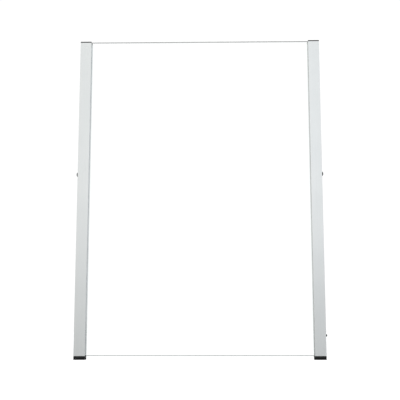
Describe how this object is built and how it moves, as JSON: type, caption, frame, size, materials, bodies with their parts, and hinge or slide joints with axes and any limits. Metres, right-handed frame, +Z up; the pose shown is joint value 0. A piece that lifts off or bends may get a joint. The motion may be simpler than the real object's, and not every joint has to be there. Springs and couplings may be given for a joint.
{
  "type": "sneeze guard",
  "caption": "Upright clear counter-top shield whose panel slides up between two square silver posts on black feet, held by side screws.",
  "frame": {"origin": "on the counter, midway between the outer sides of the posts and midway through their depth", "axes": "+X to the right of someone facing the guard, +Y away from that person, +Z up; the panel stands in the front part of the posts"},
  "size_m": [0.6158, 0.025, 0.802],
  "materials": {
    "anodised_aluminium": "satin silver anodised, fine lengthwise extrusion lines",
    "clear_acrylic": "clear polished acrylic sheet",
    "grey_strip": "light grey soft glazing strip, matt",
    "black_plastic": "black moulded nylon, fine matt texture",
    "black_rubber": "black rubber, matt",
    "black_steel": "black oxide steel, slight sheen",
    "zinc_steel": "zinc plated steel",
    "brass": "turned brass",
    "nylon": "natural white nylon"
  },
  "bodies": {
    "frame": {"left_post": "anodised_aluminium", "left_gasket": "grey_strip", "left_top_cap": "black_plastic", "left_foot": "black_plastic", "left_foot_pad": "black_rubber", "left_foot_insert": "brass", "left_outer_foot_screw": "zinc_steel", "left_inner_foot_screw": "zinc_steel", "left_clamp_nut": "zinc_steel", "right_post": "anodised_aluminium", "right_gasket": "grey_strip", "right_top_cap": "black_plastic", "right_foot": "black_plastic", "right_foot_pad": "black_rubber", "right_foot_insert": "brass", "right_outer_foot_screw": "zinc_steel", "right_inner_foot_screw": "zinc_steel", "right_clamp_nut": "zinc_steel", "lock_nut_plate": "zinc_steel"},
    "panel": {"clear_panel": "clear_acrylic"},
    "left_clamp_slide": {"left_clamp_shoe": "nylon"},
    "left_clamp_turn": {"left_clamp_screw": "black_steel"},
    "right_clamp_slide": {"right_clamp_shoe": "nylon"},
    "right_clamp_turn": {"right_clamp_screw": "black_steel"},
    "lock_slide": {"lock_shoe": "nylon"},
    "lock_turn": {"lock_screw": "black_steel"}
  },
  "joints": [
    {"name": "panel_lift", "type": "slide", "parent": "frame", "child": "panel", "axis": [0, 0, 1], "range_m": [0, 0.2]},
    {"name": "left_clamp_shoe_slide", "type": "slide", "parent": "frame", "child": "left_clamp_slide", "axis": [-1, 0, 0], "range_m": [0, 0.0016]},
    {"name": "left_clamp_screw_turn", "type": "hinge", "parent": "left_clamp_slide", "child": "left_clamp_turn", "pos_m": [-0.305, -0.00675, 0.4553], "axis": [-1, 0, 0], "range_deg": [0, 720]},
    {"name": "right_clamp_shoe_slide", "type": "slide", "parent": "frame", "child": "right_clamp_slide", "axis": [1, 0, 0], "range_m": [0, 0.0016]},
    {"name": "right_clamp_screw_turn", "type": "hinge", "parent": "right_clamp_slide", "child": "right_clamp_turn", "pos_m": [0.305, -0.00675, 0.4553], "axis": [1, 0, 0], "range_deg": [0, 720]},
    {"name": "lock_shoe_slide", "type": "slide", "parent": "frame", "child": "lock_slide", "axis": [1, 0, 0], "range_m": [0, 0.0015]},
    {"name": "lock_screw_turn", "type": "hinge", "parent": "lock_slide", "child": "lock_turn", "pos_m": [0.305, -0.00675, 0.058], "axis": [1, 0, 0], "range_deg": [0, 1080]}
  ],
  "couplings": [
    {"joint": "left_clamp_screw_turn", "follows": "left_clamp_shoe_slide", "rad_per_m": 7854},
    {"joint": "right_clamp_screw_turn", "follows": "right_clamp_shoe_slide", "rad_per_m": 7854},
    {"joint": "lock_screw_turn", "follows": "lock_shoe_slide", "rad_per_m": 12566}
  ]
}
